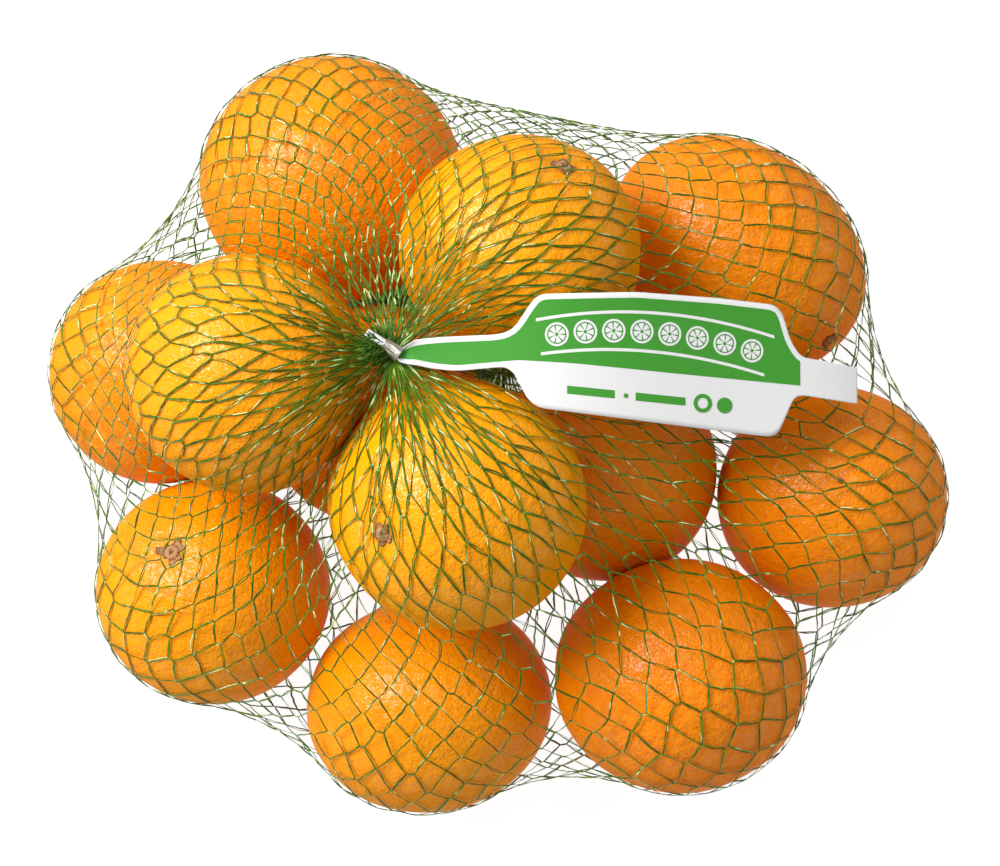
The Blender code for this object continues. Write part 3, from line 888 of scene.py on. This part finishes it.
TAG_END = TAG_FAR_EDGE[-1][0]
NECK_END = TAG_FAR_EDGE[0][0]
TONGUE_HALF, TONGUE_LENGTH = 3.0, 12.5
TAG_STEP, CORNER_CUT = 0.45, 2.2


def rounded(corners):
    """An edge with each corner replaced by a short arc."""
    points = [np.array(corners[0], float)]
    for before, corner, after in zip(corners, corners[1:], corners[2:]):
        before, corner, after = (np.array(point, float) for point in (before, corner, after))
        ends = []
        for other in (before, after):
            gap = np.linalg.norm(other - corner)
            ends.append(corner + (other - corner) * min(CORNER_CUT, gap / 2) / gap)
        for share in np.linspace(0.0, 1.0, 6):
            points.append(
                (1 - share) ** 2 * ends[0] + 2 * share * (1 - share) * corner + share**2 * ends[1]
            )
    points.append(np.array(corners[-1], float))
    return np.array(points)


def inset(edge, distance):
    """The edge moved sideways: to the right of its own direction."""
    along = unit(np.gradient(edge, axis=0))
    moved = edge + distance * np.stack([along[:, 1], -along[:, 0]], axis=-1)
    return moved[np.argsort(moved[:, 0])]


FAR_EDGE, NEAR_EDGE = rounded(TAG_FAR_EDGE), rounded(TAG_NEAR_EDGE)

# %% Laying points on the card
# The axis of the card: place along it, point, and sideways direction. Below the neck's end it
# runs down into the clip's mouth, through the clip and out to the tip of the tongue.
TONGUE_FLOOR = -0.55
SIDEWAYS_FLAT = (0.0, 1.0, 0.0)
SIDEWAYS_CLIP = tuple(TOP_FRAME[1][0])
TONGUE_KNOTS = (
    (NECK_END - TONGUE_LENGTH, in_clip(TOP_FRAME, -0.5, CLIP_HALF + 5.6, 0.3), SIDEWAYS_CLIP, 0.92),
    (NECK_END - 9.0, in_clip(TOP_FRAME, -0.1, CLIP_HALF + 1.9, -0.1), SIDEWAYS_CLIP, 1.0),
    (NECK_END - 7.2, in_clip(TOP_FRAME, 0.0, CLIP_HALF, TONGUE_FLOOR), SIDEWAYS_CLIP, 1.0),
    (NECK_END - 1.8, in_clip(TOP_FRAME, 0.0, -CLIP_HALF, TONGUE_FLOOR), SIDEWAYS_CLIP, 0.80),
    (NECK_END - 0.6, (-25.2, 22.3, 108.2), (0.25, 0.97, 0.0), 0.32),
)


def card_axis():
    """Places along the card, with the axis point, sideways direction and roll at each."""
    places = np.arange(NECK_END - TONGUE_LENGTH, TAG_END + TAG_STEP, TAG_STEP)
    knots = [(place, *point, *side, roll) for place, point, side, roll in TONGUE_KNOTS]
    for x in np.arange(-22.5, TAG_END + 1.0, 1.0):
        roll = 0.13 * bell(x, 2.2, -24.0) + 0.02 * bell(x, 9.0, -20.0)
        knots.append((x, x, TAG_AXIS_Y, np.polyval(TAG_BEND, x), *SIDEWAYS_FLAT, roll))
    knots = np.array(sorted(knots))
    values = np.stack([np.interp(places, knots[:, 0], knots[:, k]) for k in range(1, 8)], axis=-1)
    kernel = np.array((1.0, 2.0, 3.0, 2.0, 1.0)) / 9
    for k in range(7):
        padded = np.pad(values[:, k], 2, mode="reflect", reflect_type="odd")
        values[:, k] = np.convolve(padded, kernel, mode="valid")
    return places, values


CARD_PLACES, CARD_VALUES = card_axis()


def on_card(place, sideways, lift):
    """Points on the card: place along it and distance from its axis, lifted off its middle."""
    values = np.stack([np.interp(place, CARD_PLACES, CARD_VALUES[:, k]) for k in range(7)], axis=-1)
    slope = np.stack([
        np.interp(place, CARD_PLACES, np.gradient(CARD_VALUES[:, k], CARD_PLACES)) for k in range(3)
    ], axis=-1)
    side = unit(values[..., 3:6])
    up = unit(np.cross(slope, side))
    roll = np.maximum(values[..., 6], 0.002)
    angle = roll * sideways
    reach = np.sin(angle) / roll - lift * np.sin(angle)
    rise = (1 - np.cos(angle)) / roll * 0.85 + lift * np.cos(angle)
    return values[..., :3] + reach[..., None] * side + rise[..., None] * up


def strip(low, high, start, end, lift, rows=10, step=TAG_STEP):
    """A strip of card between two edges, given as functions of the place along the card."""
    places = np.append(np.arange(start, end, step), end)
    share = np.linspace(0.0, 1.0, rows)
    near, far = low(places)[:, None], high(places)[:, None]
    sideways = near * (1 - share) + far * share - TAG_AXIS_Y
    points = on_card(np.repeat(places[:, None], rows, axis=1), sideways, lift)
    return points, grid_faces(len(places), rows)


def grid_faces(rows, columns):
    index = np.arange(rows * columns).reshape(rows, columns)
    return np.stack([index[:-1, :-1], index[1:, :-1], index[1:, 1:], index[:-1, 1:]],
                    axis=-1).reshape(-1, 4)


def past_tongue(place, tongue, edge):
    """The tongue's edge, and from the neck on the edge of the tag."""
    blend = np.clip((place - NECK_END + 1.0) / 2.0, 0, 1)
    return tongue * (1 - blend) + blend * np.interp(place, *edge.T)


def far_edge(place):
    slant = 0.9 * np.clip((NECK_END - 9.0 - place) / 3.5, 0, 1)
    return past_tongue(place, TAG_AXIS_Y + TONGUE_HALF - slant, FAR_EDGE)


def near_edge(place):
    hook = 2.2 * np.clip((NECK_END - 9.6 - place) / 1.2, 0, 1)
    return past_tongue(place, TAG_AXIS_Y - TONGUE_HALF + hook, NEAR_EDGE)


# %% Card and print
BORDER, TONGUE_BORDER = 1.55, 1.45
GREEN_END = 84.4
GREEN_FOOT = ((0.6, 20.3), (5.8, 20.7), (20.5, 19.9), (47.3, 17.4), (67.7, 15.6), (84.6, 14.1))
UPPER_ARC = ((10.3, 31.6), (37.8, 34.0), (76.9, 27.6))
LOWER_ARC = ((11.7, 22.4), (35.7, 23.6), (74.0, 17.0))
ARC_HALF = 0.42
PRINT_LIFT, INK_STEP = 0.045, 0.035
SLICE_COUNT, SLICE_PLACES = 8, (16.0, 70.5)
SEGMENTS, SEGMENT_GAP = 7, 0.10
BARS, BAR_HALF = ((18.8, 31.8), (37.6, 51.5)), 1.1
ROUND_MARKS = (
    ((34.9, 11.1), 0.0, 0.65, 24), ((56.4, 9.1), 1.5, 2.6, 40), ((62.6, 8.5), 0.0, 2.2, 40),
)


def card_material(name, colour, roughness, dark_share):
    values = {"Roughness": roughness, "Specular IOR Level": 0.45}
    patches, relief = (700.0, 4.0, 0.25), (0.10, 420.0, 3.0, 0.3)
    return mottled_material(name, colour, dark_share, patches, relief, values)[0]


CARD_WHITE = card_material("card_white", (0.72, 0.72, 0.715), 0.42, 0.97)
PRINT_GREEN = card_material("print_green", (0.044, 0.285, 0.022), 0.38, 0.94)
PRINT_WHITE = card_material("print_white", (0.74, 0.74, 0.73), 0.40, 0.97)


def tag_piece(name, points, faces, material):
    piece = mesh_object(name, points, faces, material)
    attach(piece, "root")
    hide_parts("label")


def make_card():
    """Both sides of the card, joined round the rim."""
    start, rows = CARD_PLACES[0], 25
    top, faces = strip(near_edge, far_edge, start, TAG_END, TAG_HALF_CARD, rows)
    bottom, _ = strip(near_edge, far_edge, start, TAG_END, -TAG_HALF_CARD, rows)
    points, sides = joined([(top, faces), (bottom, faces[:, ::-1])])
    count = len(top)
    index = np.arange(count * rows).reshape(count, rows)
    rim = np.concatenate([index[:, 0], index[-1, 1:], index[::-1, -1][1:], index[0, ::-1][1:-1]])
    after = np.roll(rim, -1)
    rim_faces = np.stack([rim, rim + count * rows, after + count * rows, after], axis=-1)
    tag_piece("tag_card", points, np.concatenate([sides, rim_faces]), CARD_WHITE)


def green_low(place):
    edge = np.interp(place, *inset(NEAR_EDGE, -BORDER).T)
    edge = np.where(place < NECK_END + 1.0, near_edge(place) + TONGUE_BORDER, edge)
    return np.maximum(edge, np.where(place < 0.6, -99.0, np.interp(place, *zip(*GREEN_FOOT))))


def green_high(place):
    edge = np.interp(place, *inset(FAR_EDGE, BORDER).T)
    return np.where(place < NECK_END + 1.0, far_edge(place) - TONGUE_BORDER, edge)


def arc(through, side):
    """One side of a bowed line through three points."""
    curve = np.polyfit(*zip(*through), 2)
    return lambda place: np.polyval(curve, place) + side * ARC_HALF


def halfway_up(place):
    """Between the two bowed lines, where the fruit slices are."""
    return sum(np.polyval(np.polyfit(*zip(*arc), 2), place) for arc in (LOWER_ARC, UPPER_ARC)) / 2


def disc(middle, inner, outer, start=0.0, end=2 * math.pi, sides=40, tilt=0.0):
    """A ring, disc or wedge of print round a point on the card."""
    turn = np.linspace(start, end, sides) + tilt
    reach = np.array((inner, outer))[:, None]
    place, sideways = middle[0] + reach * np.cos(turn), middle[1] + reach * np.sin(turn) - TAG_AXIS_Y
    points = on_card(place, sideways, PRINT_LIFT + TAG_HALF_CARD + 2 * INK_STEP)
    return points, grid_faces(2, sides)


def bar(side):
    """One side of the bars, which run along the lower edge of the card."""
    return lambda place: 12.1 - 0.097 * (place - 25.0) + side * BAR_HALF


def make_print():
    lift = PRINT_LIFT + TAG_HALF_CARD
    tongue_start = CARD_PLACES[0] + 1.5
    tag_piece("tag_field", *strip(green_low, green_high, tongue_start, GREEN_END, lift, 25), PRINT_GREEN)
    white = []
    for through in (UPPER_ARC, LOWER_ARC):
        ends = through[0][0], through[-1][0]
        white.append(strip(arc(through, -1), arc(through, 1), *ends, lift + INK_STEP, 2))
    segment = 2 * math.pi / SEGMENTS
    for k, place in enumerate(np.linspace(*SLICE_PLACES, SLICE_COUNT)):
        centre = (place, halfway_up(place))
        white.append(disc(centre, 2.65, 3.25))
        for wedge in range(SEGMENTS):
            white.append(disc(centre, 0.45, 2.3, SEGMENT_GAP, segment - SEGMENT_GAP, 8,
                              wedge * segment + 0.4 * k))
    tag_piece("tag_slices", *joined(white), PRINT_WHITE)
    marks = [strip(bar(-1), bar(1), *ends, lift + INK_STEP, 2) for ends in BARS]
    marks += [disc(*values, sides=sides) for *values, sides in ROUND_MARKS]
    tag_piece("tag_marks", *joined(marks), PRINT_GREEN)


make_card()
make_print()
print("tag", round(TAG_END - NECK_END), "mm long without its tongue")

# %% [markdown]
# ## Necks and tufts
# Past each gather the strands run on as a neck, through the clip, and were cut off behind it,
# where their ends spring apart into a tuft. Neck and tuft are one bundle of loose tapes: each
# starts at the gather, passes the clip at its own place, and ends somewhere in the tuft.


# %% Loose tapes through a clip
LOOSE_HALF_WIDTH, LOOSE_HALF_DEPTH = 0.17, 0.07
LOOSE_STEPS, LOOSE_TWIST = 20, 2.0


def smooth_paths(stops, steps):
    """Curved paths through several stops: stop by path by axis becomes path by step by axis."""
    count = len(stops) - 1
    padded = np.concatenate([2 * stops[:1] - stops[1:2], stops, 2 * stops[-1:] - stops[-2:-1]])
    share = np.linspace(0.0, count, steps)
    piece = np.minimum(share.astype(int), count - 1)
    t = (share - piece)[:, None, None]
    a, b, c, d = (padded[piece + k] for k in range(4))
    curve = b + 0.5 * t * (c - a + t * (2 * a - 5 * b + 4 * c - d + t * (3 * (b - c) + d - a)))
    return curve.transpose(1, 0, 2)


def loose_tapes(name, paths, rng, tone_and_painted_light):
    """Tapes along free paths, each twisting as it goes."""
    along = unit(np.gradient(paths, axis=1))
    hint = rng.normal(size=(len(paths), 1, 3))
    sides = unit(np.cross(along, hint))
    ups = np.cross(sides, along)
    roll = np.linspace(0.0, 1.0, paths.shape[1]) * rng.normal(0.0, LOOSE_TWIST, (len(paths), 1))
    points, faces = tape_mesh(paths, sides, ups, LOOSE_HALF_WIDTH, LOOSE_HALF_DEPTH, roll)
    bundle = mesh_object(name, points, faces, NET_FILM)
    add_values(bundle, "tone_and_painted_light", np.repeat(np.repeat(tone_and_painted_light[:, None, None], paths.shape[1], 1), 4, 2))
    in_net(bundle)


def in_ball(rng, count):
    """Points spread through a ball, more of them near its surface."""
    return unit(rng.normal(size=(count, 3))) * rng.uniform(0.35, 1.0, (count, 1))


def make_neck(name, frame, ring, strands, bend, slot_middle, slot_size, tuft, tuft_size, seed):
    """The strands from a gather's ring of joints through the clip to the tuft."""
    rng = np.random.default_rng(seed)
    starts = np.repeat(ring, strands, axis=0)
    count = len(starts)
    spot = in_ball(rng, count)
    inside = np.array(slot_middle) + spot * np.array(slot_size)
    past = CLIP_HALF + 0.3
    through = [inside + np.array((0.0, along, 0.0)) for along in (-past, 0.0, past)]
    ends = np.array(tuft) + in_ball(rng, count) * np.array(tuft_size)
    halfway = 0.55 * through[2] + 0.45 * ends + rng.normal(0.0, 0.7, (count, 3))
    stops = [starts, in_clip(frame, np.array(bend) + spot * np.array((0.9, 0.5, 0.5)))]
    stops += [in_clip(frame, places) for places in (*through, halfway, ends)]
    paths = smooth_paths(np.array(stops), LOOSE_STEPS)
    # The neck and tuft tapes get a low tone, darker green than the net: painted shade of the dense
    # bundle.
    loose_tapes(name, paths, rng, 0.6 * rng.beta(1.0, 4.0, count))


make_neck("neck_top", TOP_FRAME, JOINTS[0], 7, (0.0, -CLIP_HALF - 1.6, -2.6), (0.0, 0.0, -1.05),
          (1.0, 0.2, 0.35), (-2.6, CLIP_HALF + 2.6, -0.6), (6.6, 5.0, 3.2), 5)
make_neck("neck_under", UNDER_FRAME, JOINTS[-1], 3, (0.0, -CLIP_HALF - 0.8, 0.0), (0.0, 0.0, 0.0),
          (1.0, 0.2, 0.9), (0.0, CLIP_HALF + 2.6, 0.0), (4.0, 2.2, 4.0), 6)
print("necks and tufts done")

# %% [markdown]
# ## Camera, light and floor
# The photo looks straight down from about a metre. One wide soft light stands at the upper
# left, a weak one hangs overhead, and a pale surround fills the shadows, as in a product
# photo on white. The floor glows a little, so that shadows stay white, but under the pile
# its glow is darkened, a painted shade that keeps the gaps between the fruit dark.

# %% The view from above
CAMERA_PLACE = (0.6, 0.9, 950.0)
SENSOR_WIDTH = 36.0
FOCAL_PIXELS, PICTURE_WIDTH = 3102.0, 1000.0
KEY_LIGHT = ((-0.80, 0.50, 0.95), 0.75, 25.0)
OVERHEAD_LIGHT = ((0.10, 0.42, 1.25), 0.45, 2.0)
SURROUND = 0.46
FLOOR_HALF, FLOOR_DROP = 3000.0, 0.02
# Painted shade: the floor's glow is darkened round this middle, within this reach, so that the gaps under
# the pile look dark.
PAINTED_SHADE_MIDDLE, PAINTED_SHADE_REACH = (-0.036, 0.040, 0.0), (0.036, 0.050)


def make_camera():
    data = bpy.data.cameras.new("camera")
    data.sensor_width = SENSOR_WIDTH
    data.lens = FOCAL_PIXELS / PICTURE_WIDTH * SENSOR_WIDTH
    data.clip_start = 0.01
    camera = add_object("camera", data)
    camera.location = [value * MM for value in CAMERA_PLACE]
    bpy.context.scene.camera = camera


def make_light(name, place, size, watts):
    data = bpy.data.lights.new(name, "AREA")
    data.shape = "DISK"
    data.size = size
    data.energy = watts
    light = add_object(name, data)
    light.location = place
    light.rotation_euler = (-Vector(place)).to_track_quat("-Z", "Y").to_euler()


def make_floor():
    material, tree, shader = principled("glowing_table_painted_shade", {
        "Base Color": (0.18, 0.18, 0.18, 1.0), "Roughness": 0.9, "Emission Strength": 0.92,
    })
    # Painted shade: near the middle of the pile the glow fades to almost black.
    place = put(tree, "ShaderNodeTexCoord").outputs["Object"]
    away = put(tree, "ShaderNodeVectorMath", {0: place, 1: PAINTED_SHADE_MIDDLE}, operation="DISTANCE")
    shade = ramp(tree, away.outputs["Value"], *PAINTED_SHADE_REACH)
    tree.links.new(mix_colours(tree, shade, (0.02, 0.02, 0.02), (1.0, 1.0, 1.0)),
                   shader.inputs["Emission Color"])
    signs = ((-1, -1), (1, -1), (1, 1), (-1, 1))
    corners = [(FLOOR_HALF * x, FLOOR_HALF * y, -FLOOR_DROP) for x, y in signs]
    floor = mesh_object("floor", corners, [[0, 1, 2, 3]], material)


make_camera()
make_light("key", *KEY_LIGHT)
make_light("overhead", *OVERHEAD_LIGHT)
make_floor()
world = bpy.data.worlds.new("studio")
world.use_nodes = True
surround = world.node_tree.nodes["Background"].inputs
surround["Color"].default_value = (1.0, 1.0, 1.0, 1.0)
surround["Strength"].default_value = SURROUND
bpy.context.scene.world = world
bpy.context.scene.view_settings.view_transform = "Standard"
